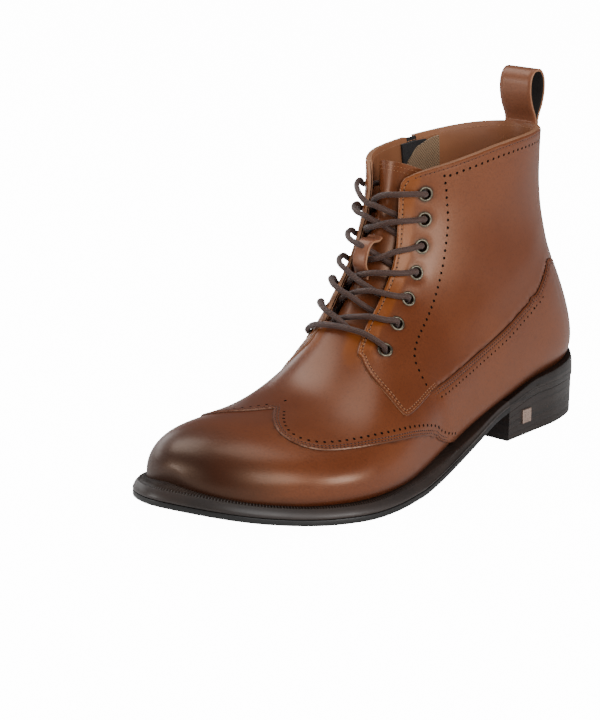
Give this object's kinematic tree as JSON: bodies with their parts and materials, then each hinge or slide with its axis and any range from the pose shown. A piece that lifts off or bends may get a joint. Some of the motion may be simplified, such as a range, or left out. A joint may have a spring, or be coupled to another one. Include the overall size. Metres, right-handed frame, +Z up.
{
  "type": "ankle boot",
  "caption": "Lace-up wingtip ankle boot in brown leather with a stacked heel, a pull loop and a side zip.",
  "frame": {"origin": "centre of the boot's bounding box on the floor, under the sole", "axes": "+X from the toe to the heel, +Y from the outer side to the inner side, +Z up from the sole"},
  "size_m": [0.3, 0.1122, 0.1842],
  "materials": {
    "upper_leather": "burnished smooth calf, mid chestnut brown, dark at the toe, soft gloss",
    "tongue_leather": "smooth calf, chestnut brown, soft gloss",
    "loop_leather": "smooth calf strap, chestnut brown outside, dark grey inside",
    "lining_leather": "matt tan lining leather",
    "outsole_rubber": "matt near black",
    "welt_leather": "dark grey brown, waxed edge with a fudged top",
    "heel_stack": "stacked leather, dark brown, waxed",
    "plate_metal": "pale rose metal, bare",
    "eyelet_brass": "antiqued, satin",
    "lace_cord": "round waxed cord, dark taupe brown",
    "zip_metal": "dark nickel",
    "zip_cloth": "black woven tape",
    "guard_cloth": "brown woven cloth"
  },
  "bodies": {
    "boot": {"upper": "upper_leather", "tongue": "tongue_leather", "lace_keeper": "upper_leather", "pull_loop": "loop_leather", "insole": "lining_leather", "outsole": "outsole_rubber", "welt": "welt_leather", "heel_rand": "heel_stack", "heel_block": "heel_stack", "heel_plate": "plate_metal", "zip_tape": "zip_cloth", "zip_chain": "zip_metal", "zip_slider": "zip_metal", "zip_guard": "guard_cloth", "lace_bar": "lace_cord", "eyelet_lateral_1": "eyelet_brass", "eyelet_medial_1": "eyelet_brass", "eyelet_lateral_2": "eyelet_brass", "eyelet_medial_2": "eyelet_brass", "eyelet_lateral_3": "eyelet_brass", "eyelet_medial_3": "eyelet_brass", "eyelet_lateral_4": "eyelet_brass", "eyelet_medial_4": "eyelet_brass", "eyelet_lateral_5": "eyelet_brass", "eyelet_medial_5": "eyelet_brass", "eyelet_lateral_6": "eyelet_brass", "eyelet_medial_6": "eyelet_brass", "eyelet_lateral_7": "eyelet_brass", "eyelet_medial_7": "eyelet_brass", "lace_crossing_1": "lace_cord", "lace_crossing_2": "lace_cord", "lace_crossing_3": "lace_cord", "lace_crossing_4": "lace_cord", "lace_crossing_5": "lace_cord", "lace_crossing_6": "lace_cord"},
    "pull_tab": {"zip_pull": "zip_metal"}
  },
  "joints": [
    {"name": "zip_pull_hinge", "type": "hinge", "parent": "boot", "child": "pull_tab", "pos_m": [0.06793, 0.04419, 0.14601], "axis": [1, 0, 0], "range_deg": [0, 165]}
  ]
}
